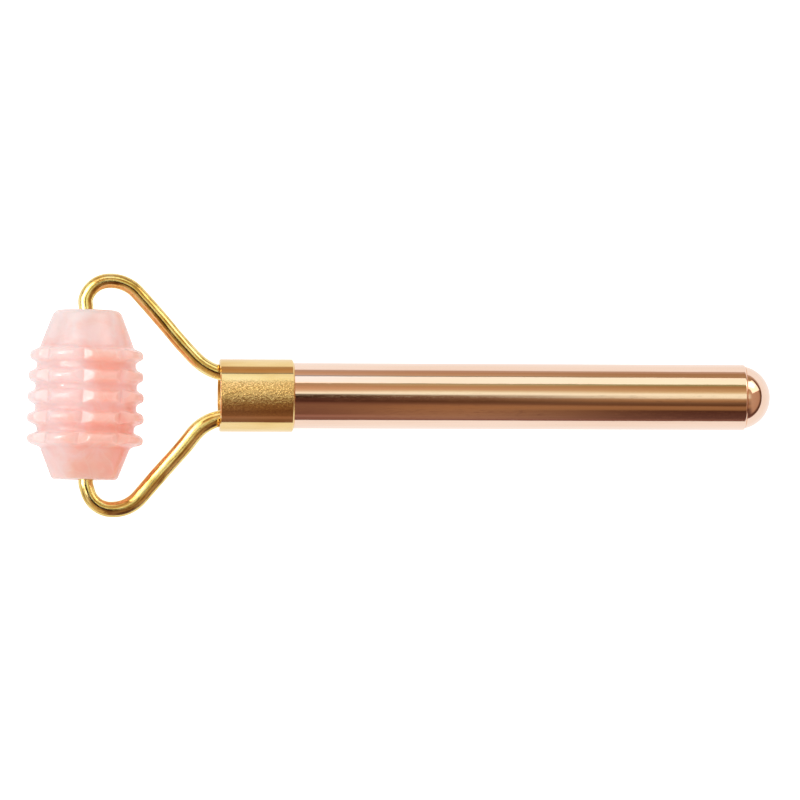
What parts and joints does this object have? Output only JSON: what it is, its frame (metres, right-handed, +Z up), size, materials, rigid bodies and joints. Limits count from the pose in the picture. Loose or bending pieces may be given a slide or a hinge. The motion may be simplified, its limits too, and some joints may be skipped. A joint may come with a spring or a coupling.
{
  "type": "face roller",
  "caption": "Handheld facial massage roller: a studded stone barrel spins on a bent-wire fork, held by a ferrule on a polished tubular handle with a domed end.",
  "frame": {"origin": "centre of the bottom face of the bounding box; the roller lies at rest on a table at z = 0", "axes": "+X from the stone roller towards the domed end of the handle, +Y along the roller's axle, +Z up. At rest the handle leans down by about 2 degrees towards the domed end."},
  "size_m": [0.1499, 0.049, 0.0231],
  "materials": {
    "rose_quartz": "polished milky pink stone, slightly translucent",
    "nylon": "natural white nylon",
    "brass_wire": "drawn brass wire with fine lengthwise grain",
    "ferrule_brass": "satin brass with a grainy plated finish",
    "turned_brass": "turned brass",
    "stud_steel": "zinc-plated threaded stud",
    "rose_gold": "mirror-polished rose-gold plating on steel tube"
  },
  "bodies": {
    "handle": {"fork_arm_left": "brass_wire", "fork_arm_right": "brass_wire", "fork_plug": "turned_brass", "ferrule": "ferrule_brass", "joint_stud": "stud_steel", "handle_insert": "turned_brass", "handle_tube": "rose_gold", "end_cap": "rose_gold"},
    "roller": {"roller_stone": "rose_quartz", "bush_left": "nylon", "bush_right": "nylon"}
  },
  "joints": [
    {"name": "roller_spin", "type": "hinge", "parent": "handle", "child": "roller", "pos_m": [-0.06341, 0, 0.01157], "axis": [0, 1, 0], "continuous": true}
  ]
}
